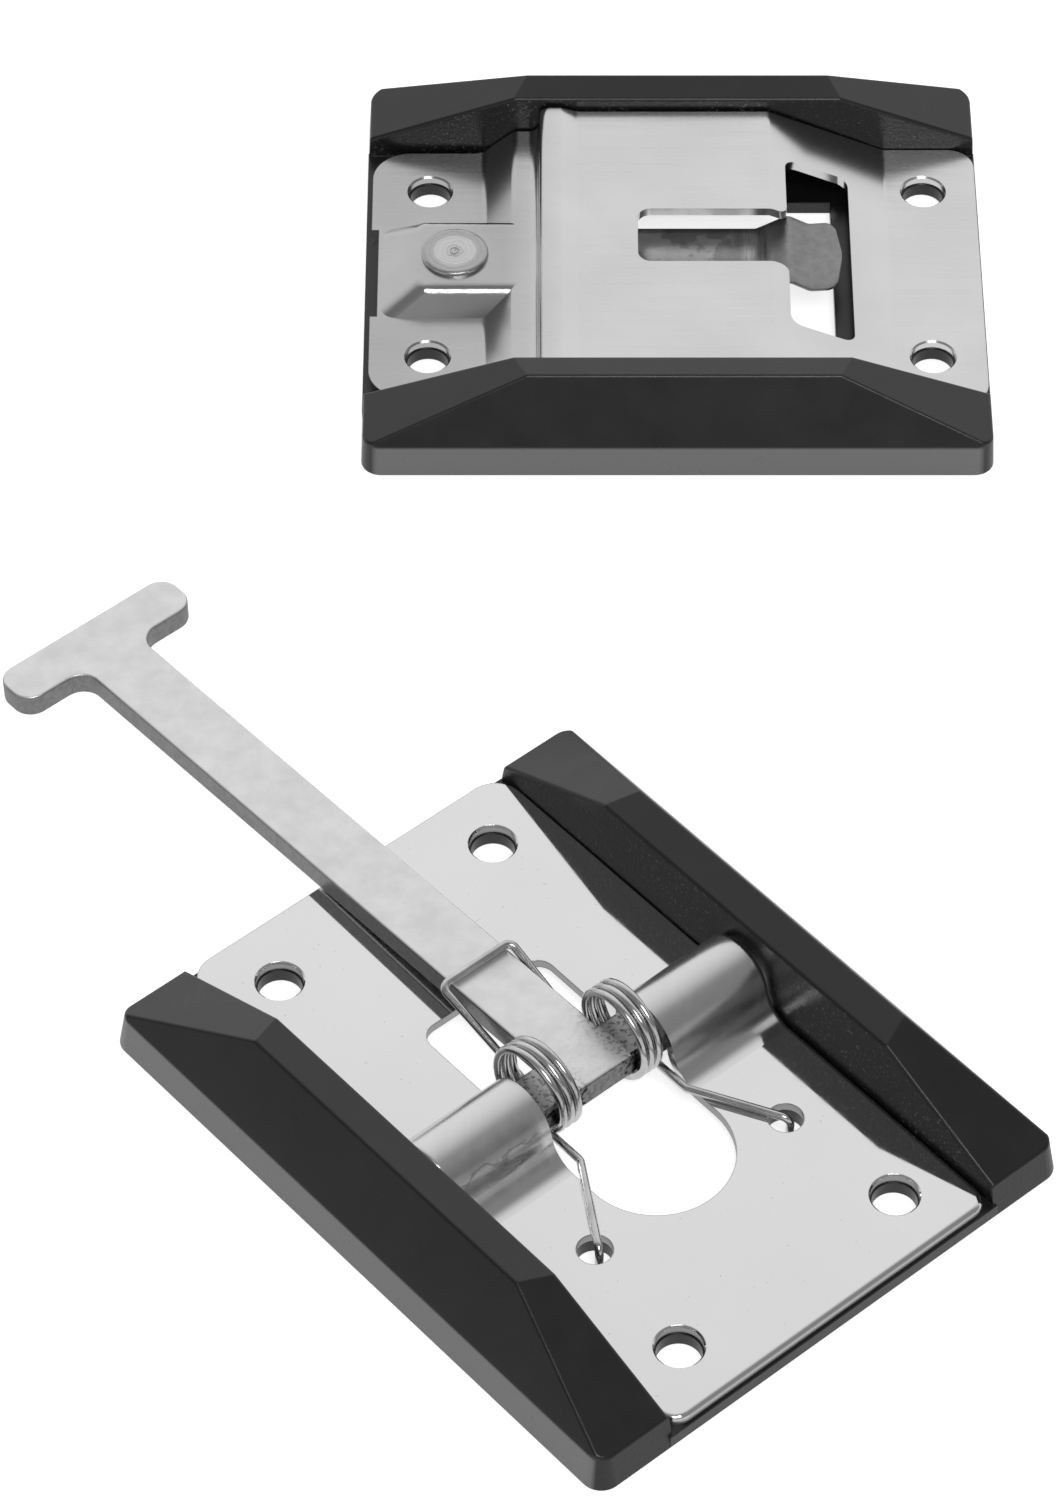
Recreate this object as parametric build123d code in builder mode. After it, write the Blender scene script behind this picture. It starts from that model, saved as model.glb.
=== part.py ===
"""Door holdback in two units: a latch with a folding T-arm, and the keeper that catches it.

Millimetres, +Z up. Both units lie on their backs on Z = 0. The row's X and Y follow the keeper;
the latch unit is turned about Z. Each unit is drawn in its own frame, X along its bumpers and
Y across them, and is put in its place at the end.
"""

import os
from math import acos, atan2, cos, degrees, radians, sin, sqrt, tan

from build123d import *

# ---------------------------------------------------------------- both units
sheet = 1.4  # steel of both plates
base_thick = 2.1  # rubber under the plates
plate_top = base_thick + sheet
end_height = 5.5  # the low ends and outer sides of the bumpers
crown = 0.8  # inner top edge below the ridge
wall_draft = 0.5  # lean of the bumpers' inner walls
base_lap = 0.5  # the base sheet runs on into the bumpers
pad_corner = 3.0  # at the foot
crest_round = 0.5  # moulded edges of the bumpers
wall_gap = 0.2  # from the plates to the rubber walls beside them
screw_hole = 6.6
screw_rim = 0.25  # eased edge of the screw holes
rubber_hole = 6.2

# ---------------------------------------------------------------- latch unit
latch_turn = -49.2  # about Z, degrees
latch_length = 101.5
latch_width = 83.0  # over the feet of the bumpers
latch_bumper_width = 12.8
latch_side_lean = 0.9  # from the foot of a bumper's outer side to its top edge
latch_ridge = 15.3
latch_ridge_inset = 7.05  # from a bumper's outer foot to its ridge
latch_ramp_head = 23.4  # ramps of the bumpers: T-head end, far end
latch_ramp_far = 24.6
latch_screws_x = 82.48
latch_screws_y = 38.54
plate_end_inset = 0.4
head_corner_round = 4.4  # plan corners of the plate: T-head end, far end
far_corner_round = 3.0

hinge_x = 0.3
hinge_z = 6.1
bore_radius = 4.6
barrel_radius = bore_radius + sheet
barrel_bend = 4.5  # hollow bend from the barrel down to the plate
barrel_end_round = 0.9
relief_gap = 0.4  # round the bore, for the opening of the rubber under the barrels
window_setback = 1.4  # the rubber's window is this much larger all round
window_head = -21.5
window_corner = 2.6
round_end_x = 14.8

running_clearance = 0.05
arm_thick = 3.6
arm_top = 9.3  # over the hinge
arm_rest_gap = 0.3  # between the arm and the plate's head edge, where the arm comes down
arm_width = 9.9
arm_tip = -111.0
side_play = 0.5  # the arm and its spring lie slid to +Y
barrel_gap = 0.3  # from the spring to the barrels
head_depth = 7.5
head_length = 31.0
head_corner = 3.0
neck_fillet = 3.0
arm_edge_round = 0.35
pivot_end = 3.7  # past the hinge
ear_reach = 26.0  # half length over the two ears

wire = 1.2
wire_flats = 10  # stand for the round wire and keep its mesh light
coil_bore = 5.8  # inner radius
coil_x = -1.2  # the spring pushes its coils up and back against the arm
coil_z = 8.3
coil_turns = 3
coil_space = 0.1  # between turns
coil_gap = 0.05  # from the arm to the first turn
coil_leg_angle = -50.0  # where the leg leaves the coil
bail_x = -22.3
bail_gap = 0.15  # over the arm, for the corners that dip beside it
bail_bend = 1.8
wire_bend = 1.2  # the other bends of the wire
leg_turn_x = 9.8
leg_hole_x = 22.0
leg_hole_y = 17.1
leg_hole = 5.0
hook_shift = 0.9
hook_depth = 2.6

# ---------------------------------------------------------------- keeper unit
keeper_x = 14.8
keeper_y = 160.0
keeper_length = 94.3
keeper_width = 80.0
keeper_bumper_width = 12.0
keeper_side_lean = 0.3
keeper_ridge = 14.2
keeper_ridge_inset = 6.7
keeper_ramp_left = 24.8
keeper_ramp_right = 23.1
keeper_screws_x = 76.2
keeper_screws_y = 36.6
keeper_screws_shift = 0.7
edge_left = -46.3
edge_right = 46.9
tray_half = 27.0  # half width over the two corner pads
tray_corner = 5.8
tray_shoulder = 1.5  # half run of the step from the tray's side to the full width
flange_corner = 4.0
fold_inside = 0.2  # inner radius of the sheet's bends
raised_top = 11.5
bead_top = 12.3
bead_wall = -20.6
bead_crown = -17.2
bead_end = -14.6
ramp_top = 14.8
ramp_foot = 33.0
ledge_top = 7.4
ledge_left = -24.4
tray_right = -29.0
boss_half = 9.9  # foot of the boss
boss_slope = 2.6  # run of its sides
boss_foot = -44.6
boss_brow = -39.0
boss_round = 2.0  # brow of the boss
boss_round_tuck = 1.2  # the brow's inside is tighter
boss_corner = 2.2
boss_run_on = 1.4  # the boss runs on under the ledge
notch_half = 9.6
notch_left = -45.2

slot_left = 17.2
slot_right = 27.0
slot_side_clear = 2.6  # from the T-head's ends
slot_corner = 1.8
stem_left = -5.6
stem_clear = 0.85  # from the arm's sides
stem_corner = 2.0
stem_fillet = 1.4
rubber_window_right = 24.4
rubber_window_half = 17.2
rubber_window_left = -28.0
rubber_pocket_left = -42.0
rubber_pocket_half = 8.6

rivet_x = -33.4
rivet_head = 10.2
rivet_rise = 0.8
rivet_brow = 0.56
rivet_shank = 4.6
rivet_tail = 7.6
tail_thick = 0.8
leaf_thick = 0.5
leaf_half = 7.25
leaf_tail_half = 6.0  # clear inside the boss
leaf_left = -37.6
leaf_widens = -22.0
leaf_flare = 4.0
leaf_bend = 1.3
leaf_corner = 2.5
leaf_step = 12.6  # first crease
leaf_crest = 17.4
leaf_lift = 2.8  # crest over the flat
leaf_dip = 20.6
leaf_dip_lift = 1.0
leaf_tip = 23.2
leaf_tip_lift = 1.4
leaf_tip_bulge = 2.3


def bumper(
    length, pad_width, width, side_lean, ridge_height, ridge_inset, ramp_left, ramp_right
):
    """One faceted bumper, on the +Y side, full height from the wall plane."""
    outer = pad_width / 2
    inner = outer - width
    ridge = outer - ridge_inset
    half = length / 2
    rise = ridge_height - end_height
    side_foot = end_height - side_lean * rise / (ridge_inset - side_lean)
    left_foot = end_height - side_lean * rise / (ramp_left - side_lean)
    right_foot = end_height - side_lean * rise / (ramp_right - side_lean)
    with BuildPart() as block:
        with BuildSketch(Plane.YZ.offset(-half)):
            with BuildLine():
                Polyline(
                    (inner, 0),
                    (outer, 0),
                    (outer, side_foot),
                    (ridge, ridge_height),
                    (inner + wall_draft, ridge_height - crown),
                    (inner, plate_top),
                    close=True,
                )
            make_face()
        extrude(amount=length)
        with BuildSketch(Plane.XZ.offset(-outer)):
            with BuildLine():
                Polyline(
                    (-half, 0),
                    (half, 0),
                    (half, right_foot),
                    (half - ramp_right, ridge_height),
                    (ramp_left - half, ridge_height),
                    (-half, left_foot),
                    close=True,
                )
            make_face()
        extrude(amount=width, mode=Mode.INTERSECT)
        with BuildSketch() as plan:
            Rectangle(length, pad_width)
            fillet(plan.vertices(), pad_corner)
        extrude(
            amount=ridge_height,
            taper=degrees(atan2(side_lean, end_height)),
            mode=Mode.INTERSECT,
        )
        crests = block.edges().filter_by(
            lambda e: min(v.Z for v in e.vertices()) > end_height - 0.01
        )
        fillet(crests, crest_round)
    return block.part


latch_bumper_block = bumper(
    latch_length,
    latch_width,
    latch_bumper_width,
    latch_side_lean,
    latch_ridge,
    latch_ridge_inset,
    latch_ramp_head,
    latch_ramp_far,
)
keeper_bumper_block = bumper(
    keeper_length,
    keeper_width,
    keeper_bumper_width,
    keeper_side_lean,
    keeper_ridge,
    keeper_ridge_inset,
    keeper_ramp_left,
    keeper_ramp_right,
)

# ================================================================ latch unit
latch_wall = latch_width / 2 - latch_bumper_width
latch_side = latch_wall - wall_gap
head_edge = -latch_length / 2
far_edge = latch_length / 2 - plate_end_inset
arm_under = arm_top - arm_thick
arm_tilt = degrees(atan2(arm_under - plate_top - arm_rest_gap, hinge_x - head_edge))
coil_radius = coil_bore + wire / 2
coil_pitch = wire + coil_space
coil_inner_y = arm_width / 2 + coil_gap + wire / 2
coil_outer_y = coil_inner_y + coil_turns * coil_pitch
window_half = coil_outer_y + wire / 2 + side_play + barrel_gap  # also its round end's radius
window_length = round_end_x - window_head
window_middle = (round_end_x + window_head) / 2

# Centre of the hollow bend, which touches the barrel and the plate's top.
bend_z = plate_top + barrel_bend
bend_x = hinge_x + sqrt((barrel_radius + barrel_bend) ** 2 - (bend_z - hinge_z) ** 2)
bend_angle = degrees(atan2(bend_z - hinge_z, bend_x - hinge_x))

# ---------------------------------------------------------------- latch_bumper
with BuildPart() as latch_bumper:
    with BuildSketch():
        Rectangle(latch_length, 2 * (latch_wall + base_lap))
    extrude(amount=base_thick)
    add(latch_bumper_block)
    mirror(latch_bumper_block, about=Plane.XZ)
    with BuildSketch():
        with Locations(((round_end_x + window_head - window_setback) / 2, 0)):
            Rectangle(window_length + window_setback, 2 * (window_half + window_setback))
        with Locations((round_end_x, 0)):
            Circle(window_half + window_setback)
        with Locations((hinge_x, 0)):
            Rectangle(2 * (bore_radius + relief_gap), 2 * latch_side)
        with GridLocations(latch_screws_x, latch_screws_y, 2, 2):
            Circle(rubber_hole / 2)
        with Locations((leg_hole_x, leg_hole_y), (leg_hole_x, -leg_hole_y)):
            Circle(leg_hole / 2)
    extrude(amount=base_thick, mode=Mode.SUBTRACT)

# ---------------------------------------------------------------- latch_plate
barrel_foot = hinge_x - barrel_radius
with BuildPart() as latch_plate:
    # Side view of the sheet: flat, up over the hinge, down through the hollow bend, flat.
    with BuildSketch(Plane.XZ.offset(-latch_side)):
        with BuildLine():
            roof = CenterArc((hinge_x, hinge_z), barrel_radius, bend_angle, 180 - bend_angle)
            hollow = CenterArc((bend_x, bend_z), barrel_bend, 180 + bend_angle, 90 - bend_angle)
            hollow_under = CenterArc(
                (bend_x, bend_z), barrel_bend + sheet, 180 + bend_angle, 90 - bend_angle
            )
            bore = CenterArc((hinge_x, hinge_z), bore_radius, bend_angle, 180 - bend_angle)
            Polyline(
                hollow @ 1,
                (far_edge, plate_top),
                (far_edge, base_thick),
                hollow_under @ 1,
            )
            Polyline(
                bore @ 1,
                (hinge_x - bore_radius, base_thick),
                (head_edge, base_thick),
                (head_edge, plate_top),
                (barrel_foot, plate_top),
                roof @ 1,
            )
        make_face()
    extrude(amount=2 * latch_side)
    with BuildSketch() as outline:
        with Locations(((head_edge + far_edge) / 2, 0)):
            Rectangle(far_edge - head_edge, 2 * latch_side)
        fillet(outline.vertices().group_by(Axis.X)[0], head_corner_round)
        fillet(outline.vertices().group_by(Axis.X)[-1], far_corner_round)
    extrude(amount=hinge_z + 2 * barrel_radius, mode=Mode.INTERSECT)
    with BuildSketch() as window:
        with Locations((window_middle, 0)):
            Rectangle(window_length, 2 * window_half)
        fillet(window.vertices().group_by(Axis.X)[0], window_corner)
        with Locations((round_end_x, 0)):
            Circle(window_half)
        with GridLocations(latch_screws_x, latch_screws_y, 2, 2):
            Circle(screw_hole / 2)
        with Locations((leg_hole_x, leg_hole_y), (leg_hole_x, -leg_hole_y)):
            Circle(leg_hole / 2)
    extrude(amount=hinge_z + 2 * barrel_radius, mode=Mode.SUBTRACT)
    rims = latch_plate.edges().filter_by(GeomType.CIRCLE).filter_by(
        lambda e: abs(e.radius - screw_hole / 2) < 0.01 and abs(e.center().Z - plate_top) < 0.01
    )
    chamfer(rims, screw_rim)
    barrel_ends = latch_plate.edges().filter_by(GeomType.CIRCLE).filter_by(
        lambda e: abs(e.radius - barrel_radius) < 0.01 and abs(e.center().Y) > latch_side - 0.1
    )
    fillet(barrel_ends, barrel_end_round)

# ---------------------------------------------------------------- t_arm
ear_radius = bore_radius - running_clearance
pivot_x = hinge_x + pivot_end
with BuildPart() as t_arm:
    with BuildSketch(Plane.XY.offset(arm_under)) as stamping:
        with Locations(((arm_tip + pivot_x) / 2, 0)):
            Rectangle(pivot_x - arm_tip, arm_width)
        with Locations((arm_tip + head_depth / 2, 0)):
            Rectangle(head_depth, head_length)
        corners = stamping.vertices().filter_by(lambda v: abs(v.Y) > arm_width)
        fillet(corners, head_corner)
        necks = stamping.vertices().filter_by(
            lambda v: abs(v.Y) < arm_width and abs(v.X - arm_tip - head_depth) < 0.01
        )
        fillet(necks, neck_fillet)
    extrude(amount=arm_thick)
    rims = t_arm.edges().group_by(Axis.Z)[0] + t_arm.edges().group_by(Axis.Z)[-1]
    fillet(rims, arm_edge_round)
    # The ears, rounded to turn in the barrels.
    with BuildSketch(Plane.XZ.offset(-ear_reach)):
        with Locations((hinge_x, hinge_z)):
            Circle(ear_radius)
        with Locations((pivot_x - ear_radius, arm_top - arm_thick / 2)):
            Rectangle(2 * ear_radius, arm_thick, mode=Mode.INTERSECT)
    extrude(amount=2 * ear_reach)
hinge_axis = Axis((hinge_x, 0, hinge_z), (0, 1, 0))
t_arm.part = t_arm.part.rotate(hinge_axis, -arm_tilt).translate((0, side_play, 0))

# ---------------------------------------------------------------- torsion_spring
# One wire: hook, leg, coil, the bail that lies over the arm, coil, leg, hook.
leg_z = plate_top + wire / 2 + running_clearance
arm_fall = (hinge_x - bail_x) * tan(radians(arm_tilt))
bail_z = arm_top - arm_fall + wire / 2 + bail_gap
half_turn_radius = sqrt(coil_radius**2 + (coil_pitch / 4) ** 2)


def on_coil(angle, y):
    """Point of the coil's centre line at this angle, seen along the hinge."""
    return Vector(
        coil_x + coil_radius * cos(radians(angle)), y, coil_z + coil_radius * sin(radians(angle))
    )


# The bail leaves the coil along a tangent, and so does the leg until it is over the plate.
bail_reach = sqrt((bail_x - coil_x) ** 2 + (bail_z - coil_z) ** 2)
bail_angle = degrees(atan2(bail_z - coil_z, bail_x - coil_x) + acos(coil_radius / bail_reach))
leg_tangent = radians(coil_leg_angle + 90)


def half_spring(outer_y):
    """The +Y half of the spring, its coil ending at outer_y."""
    inner_y = outer_y - coil_turns * coil_pitch
    leg_start = on_coil(coil_leg_angle, outer_y)
    elbow = leg_start + Vector(cos(leg_tangent), 0, sin(leg_tangent)) * (
        (leg_z - leg_start.Z) / sin(leg_tangent)
    )
    with BuildPart() as half:
        with BuildLine() as path:
            FilletPolyline(
                (leg_hole_x + hook_shift, leg_hole_y, leg_z - hook_depth),
                (leg_hole_x + hook_shift, leg_hole_y, leg_z),
                (leg_turn_x, outer_y, leg_z),
                elbow,
                leg_start,
                radius=wire_bend,
            )
            ThreePointArc(
                leg_start,
                on_coil((coil_leg_angle - 90) / 2, outer_y),
                on_coil(-90, outer_y),
            )
            for half_turn in range(2 * coil_turns):
                y = outer_y - half_turn * coil_pitch / 2
                rising = half_turn % 2 == 0
                start_angle = -90 if rising else 90
                side = -half_turn_radius if rising else half_turn_radius
                ThreePointArc(
                    on_coil(start_angle, y),
                    (coil_x + side, y - coil_pitch / 4, coil_z),
                    on_coil(-start_angle, y - coil_pitch / 2),
                )
            ThreePointArc(
                on_coil(-90, inner_y),
                on_coil((bail_angle - 360 - 90) / 2, inner_y),
                on_coil(bail_angle, inner_y),
            )
            FilletPolyline(
                on_coil(bail_angle, inner_y),
                (bail_x, inner_y, bail_z),
                (bail_x, 0, bail_z),
                radius=bail_bend,
            )
        with BuildSketch(Plane(origin=path.line @ 0, z_dir=path.line % 0)):
            RegularPolygon(wire / 2, wire_flats)
        sweep(path=path.line)
    return half.part


with BuildPart() as torsion_spring:
    add(half_spring(coil_outer_y + side_play))
    mirror(half_spring(coil_outer_y - side_play), about=Plane.XZ)

# ================================================================ keeper unit
keeper_wall = keeper_width / 2 - keeper_bumper_width
keeper_side = keeper_wall - wall_gap
slot_half = head_length / 2 + slot_side_clear
stem_half = arm_width / 2 + stem_clear

# ---------------------------------------------------------------- keeper_bumper
with BuildPart() as keeper_bumper:
    with BuildSketch():
        Rectangle(keeper_length, 2 * (keeper_wall + base_lap))
    extrude(amount=base_thick)
    add(keeper_bumper_block)
    mirror(keeper_bumper_block, about=Plane.XZ)
    with BuildSketch():
        with Locations(((rubber_window_left + rubber_window_right) / 2, 0)):
            Rectangle(rubber_window_right - rubber_window_left, 2 * rubber_window_half)
        with Locations(((rubber_pocket_left + rubber_window_left) / 2, 0)):
            Rectangle(rubber_window_left - rubber_pocket_left, 2 * rubber_pocket_half)
        with Locations((keeper_screws_shift, 0)):
            with GridLocations(keeper_screws_x, keeper_screws_y, 2, 2):
                Circle(rubber_hole / 2)
    extrude(amount=base_thick, mode=Mode.SUBTRACT)

# ---------------------------------------------------------------- keeper_plate
boss_rise = ledge_top - plate_top
side_tuck = sheet * tan(atan2(boss_rise, boss_slope) / 2)  # inner form inside the outer one
front_tuck = sheet * tan(atan2(boss_rise, boss_brow - boss_foot) / 2)
boss_back = ledge_left + boss_run_on


def boss(foot_z, top_z, foot_x, brow_x, foot_half, brow_half, round_radius):
    """Raised form between the corner pads, open toward the ledge."""
    with BuildPart() as form:
        for z, left, half in ((foot_z, foot_x, foot_half), (top_z, brow_x, brow_half)):
            with BuildSketch(Plane.XY.offset(z)) as level:
                with Locations(((left + boss_back) / 2, 0)):
                    Rectangle(boss_back - left, 2 * half)
                fillet(level.vertices().group_by(Axis.X)[0], boss_corner)
        loft()
        brow = form.edges().group_by(Axis.Z)[-1].filter_by(
            lambda e: e.center().X < boss_back - 0.1
        )
        fillet(brow, round_radius)
    return form.part


boss_outside = boss(
    plate_top, ledge_top, boss_foot, boss_brow, boss_half, boss_half - boss_slope, boss_round
)
boss_inside = boss(
    base_thick,
    ledge_top - sheet,
    boss_foot + front_tuck,
    boss_brow + front_tuck,
    boss_half - side_tuck,
    boss_half - boss_slope - side_tuck,
    boss_round - boss_round_tuck,
)
with BuildPart() as keeper_plate:
    # Side view of the sheet, drawn along its top and thickened downward.
    with BuildSketch(Plane.XZ.offset(-keeper_side)):
        with BuildLine():
            top = FilletPolyline(
                (edge_left, plate_top),
                (tray_right, plate_top),
                (ledge_left, ledge_top),
                (bead_wall, ledge_top),
                (bead_wall, bead_top),
                (bead_crown, bead_top),
                (bead_end, raised_top),
                (ramp_top, raised_top),
                (ramp_foot, plate_top),
                (edge_right, plate_top),
                radius=sheet + fold_inside,
            )
            offset(top, amount=sheet, side=Side.RIGHT)
        make_face()
    extrude(amount=2 * keeper_side)
    add(boss_outside)
    add(boss_inside, mode=Mode.SUBTRACT)

    with BuildSketch() as outline:
        with BuildLine():
            Polyline(
                (notch_left, 0),
                (notch_left, notch_half),
                (edge_left, notch_half),
                (edge_left, tray_half),
                (tray_right - tray_shoulder, tray_half),
                (tray_right + tray_shoulder, keeper_side),
                (edge_right, keeper_side),
                (edge_right, 0),
                (notch_left, 0),
            )
        make_face()
        mirror(about=Plane.XZ)
        tray_corners = outline.vertices().filter_by(
            lambda v: abs(v.X - edge_left) < 0.01 and abs(v.Y) > notch_half + 0.01
        )
        fillet(tray_corners, tray_corner)
        fillet(outline.vertices().group_by(Axis.X)[-1], flange_corner)
    extrude(amount=2 * bead_top, mode=Mode.INTERSECT)
    with BuildSketch() as slot:
        with Locations(((slot_left + slot_right) / 2, 0)):
            Rectangle(slot_right - slot_left, 2 * slot_half)
        with Locations(((stem_left + slot_left) / 2, 0)):
            Rectangle(slot_left - stem_left, 2 * stem_half)
        stem_corners = slot.vertices().filter_by(lambda v: v.X < stem_left + 0.01)
        fillet(stem_corners, stem_corner)
        throat = slot.vertices().filter_by(
            lambda v: abs(v.X - slot_left) < 0.01 and abs(abs(v.Y) - stem_half) < 0.01
        )
        fillet(throat, stem_fillet)
        bar_corners = slot.vertices().filter_by(lambda v: abs(abs(v.Y) - slot_half) < 0.01)
        fillet(bar_corners, slot_corner)
        with Locations((keeper_screws_shift, 0)):
            with GridLocations(keeper_screws_x, keeper_screws_y, 2, 2):
                Circle(screw_hole / 2)
        with Locations((rivet_x, 0)):
            Circle(rivet_shank / 2)
    extrude(amount=2 * bead_top, mode=Mode.SUBTRACT)
    rims = keeper_plate.edges().filter_by(GeomType.CIRCLE).filter_by(
        lambda e: abs(e.radius - screw_hole / 2) < 0.01 and abs(e.center().Z - plate_top) < 0.01
    )
    chamfer(rims, screw_rim)

# ---------------------------------------------------------------- leaf_rivet
boss_under = ledge_top - sheet
leaf_under = boss_under - leaf_thick
with BuildPart() as leaf_rivet:
    with BuildSketch(Plane.XY.offset(leaf_under - tail_thick)):
        with Locations((rivet_x, 0)):
            Circle(rivet_tail / 2)
    extrude(amount=tail_thick)
    with BuildSketch(Plane.XY.offset(leaf_under - tail_thick)):
        with Locations((rivet_x, 0)):
            Circle(rivet_shank / 2)
    extrude(amount=ledge_top - leaf_under + tail_thick)
    with BuildSketch(Plane.XY.offset(ledge_top)):
        with Locations((rivet_x, 0)):
            Circle(rivet_head / 2)
    extrude(amount=rivet_rise)
    brow = leaf_rivet.edges().group_by(Axis.Z)[-1]
    fillet(brow, rivet_brow)

# ---------------------------------------------------------------- retaining_leaf
with BuildPart() as retaining_leaf:
    # Side view of the leaf, drawn along its top: flat, crest behind the T-head, dip and tip.
    with BuildSketch(Plane.XZ.offset(-leaf_half)):
        with BuildLine():
            spring_top = FilletPolyline(
                (leaf_left, boss_under),
                (leaf_step, boss_under),
                (leaf_crest, boss_under + leaf_lift),
                (leaf_dip, boss_under + leaf_dip_lift),
                (leaf_tip + leaf_tip_bulge, boss_under + leaf_tip_lift),
                radius=leaf_bend,
            )
            offset(spring_top, amount=leaf_thick, side=Side.RIGHT)
        make_face()
    extrude(amount=2 * leaf_half)
    with BuildSketch() as blank:
        with BuildLine():
            Polyline(
                (leaf_tip, -leaf_half),
                (leaf_widens + leaf_flare, -leaf_half),
                (leaf_widens, -leaf_tail_half),
                (leaf_left, -leaf_tail_half),
                (leaf_left, leaf_tail_half),
                (leaf_widens, leaf_tail_half),
                (leaf_widens + leaf_flare, leaf_half),
                (leaf_tip, leaf_half),
            )
            ThreePointArc(
                (leaf_tip, leaf_half), (leaf_tip + leaf_tip_bulge, 0), (leaf_tip, -leaf_half)
            )
        make_face()
        fillet(blank.vertices().group_by(Axis.X)[0], leaf_corner)
        with Locations((rivet_x, 0)):
            Circle(rivet_shank / 2, mode=Mode.SUBTRACT)
    extrude(amount=raised_top, mode=Mode.INTERSECT)

# ================================================================ placing and writing
latch_place = Location((0, 0, 0), (0, 0, latch_turn))
keeper_place = Location((keeper_x, keeper_y, 0))

latch_plate.part.move(latch_place)
latch_bumper.part.move(latch_place)
t_arm.part.move(latch_place)
torsion_spring.part.move(latch_place)
keeper_plate.part.move(keeper_place)
keeper_bumper.part.move(keeper_place)
retaining_leaf.part.move(keeper_place)
leaf_rivet.part.move(keeper_place)

latch_plate.part.label = "latch_plate"
latch_bumper.part.label = "latch_bumper"
t_arm.part.label = "t_arm"
torsion_spring.part.label = "torsion_spring"
keeper_plate.part.label = "keeper_plate"
keeper_bumper.part.label = "keeper_bumper"
retaining_leaf.part.label = "retaining_leaf"
leaf_rivet.part.label = "leaf_rivet"

os.makedirs("parts", exist_ok=True)
export_step(latch_plate.part, "parts/latch_plate.step")
export_step(latch_bumper.part, "parts/latch_bumper.step")
export_step(t_arm.part, "parts/t_arm.step")
export_step(torsion_spring.part, "parts/torsion_spring.step")
export_step(keeper_plate.part, "parts/keeper_plate.step")
export_step(keeper_bumper.part, "parts/keeper_bumper.step")
export_step(retaining_leaf.part, "parts/retaining_leaf.step")
export_step(leaf_rivet.part, "parts/leaf_rivet.step")
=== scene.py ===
# %% [markdown]
# # A door holdback: a latch with a folding T-arm, and its keeper
# The latch is screwed to a wall and the keeper to a door, and the arm's T-head snaps into the
# keeper's slot and holds the door open. Their shapes, sizes and places could all be made here,
# but they come from the imported CAD model, which is loaded first and never moved, so that the
# two agree. This script gives every surface its finish, draws the spring and the leaf again,
# and sets up a plain pale studio. Lengths are metres and +Z is up.

# %% Load the frame
import math

import bpy
from mathutils import Matrix, Vector


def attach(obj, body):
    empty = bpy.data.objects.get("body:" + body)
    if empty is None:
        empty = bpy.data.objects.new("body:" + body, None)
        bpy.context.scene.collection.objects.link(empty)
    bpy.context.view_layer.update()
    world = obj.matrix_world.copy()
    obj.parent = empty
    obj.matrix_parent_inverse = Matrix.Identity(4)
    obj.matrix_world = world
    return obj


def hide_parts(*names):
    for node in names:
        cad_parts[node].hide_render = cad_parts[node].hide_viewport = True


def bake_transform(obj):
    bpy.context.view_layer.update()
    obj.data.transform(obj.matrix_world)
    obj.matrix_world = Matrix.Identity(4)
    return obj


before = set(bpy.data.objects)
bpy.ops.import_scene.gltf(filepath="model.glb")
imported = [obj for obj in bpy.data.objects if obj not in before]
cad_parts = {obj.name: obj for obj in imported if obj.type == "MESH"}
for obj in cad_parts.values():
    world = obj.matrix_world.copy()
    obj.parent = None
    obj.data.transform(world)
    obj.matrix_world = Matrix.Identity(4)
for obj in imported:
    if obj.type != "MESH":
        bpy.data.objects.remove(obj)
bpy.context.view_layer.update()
mm = 0.001
print("nodes:", ", ".join(sorted(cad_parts)))

# %% [markdown]
# **Places.** Each unit has directions of its own: `along` its bumpers, `across` them, and
# `up`. A place on it could be written in the shared frame, but the latch unit is turned about
# the vertical there, and every number would be a riddle. So one small function for each unit
# turns a triple of millimetres into a place in the frame.

# %% Places on the two units
latch_turn = math.radians(-49.2)
turn_latch = Matrix.Rotation(latch_turn, 3, "Z")
keeper_centre = Vector((14.8, 160.0, 0.0)) * mm


def on_latch(along, across, up):
    """A place on the latch unit, from millimetres along, across and up."""
    return turn_latch @ (Vector((along, across, up)) * mm)


def on_keeper(along, across, up):
    """A place on the keeper, from millimetres along, across and up."""
    return keeper_centre + Vector((along, across, up)) * mm


print("10 mm along the latch is", [round(x / mm, 2) for x in on_latch(10, 0, 0)])
print("10 mm along the keeper is", [round(x / mm, 2) for x in on_keeper(10, 0, 0)])

# %% [markdown]
# **Finishes** are what tells steel from rubber. One could be a flat colour, but real metal and
# rubber are never even, or an image wrapped round the piece, but that blurs close by. Here each
# is a small graph of nodes, which stays sharp at any distance. Three helpers keep the graphs
# short to write: one starts a material and returns its main shader, one adds a node and fills
# in its sockets, and one draws wires.

# %% Nodes and wires


def new_material(name, base, metallic, roughness):
    """A material with its main shader set to one grey, ready for detail."""
    material = bpy.data.materials.new(name)
    material.use_nodes = True
    shader = material.node_tree.nodes["Principled BSDF"]
    shader.inputs["Base Color"].default_value = (base, base, base, 1.0)
    shader.inputs["Metallic"].default_value = metallic
    shader.inputs["Roughness"].default_value = roughness
    return material, shader


def add_node(material, kind, **values):
    """A node of this kind. Names are sockets, with spaces as underscores, or settings."""
    node = material.node_tree.nodes.new(kind)
    for name, value in values.items():
        socket = name.replace("_", " ")
        if socket in node.inputs:
            node.inputs[socket].default_value = value
        else:
            setattr(node, name, value)
    return node


def wire(material, source, target):
    """Joins one output to one input."""
    material.node_tree.links.new(source, target)


print("materials to start with:", len(bpy.data.materials))

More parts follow.
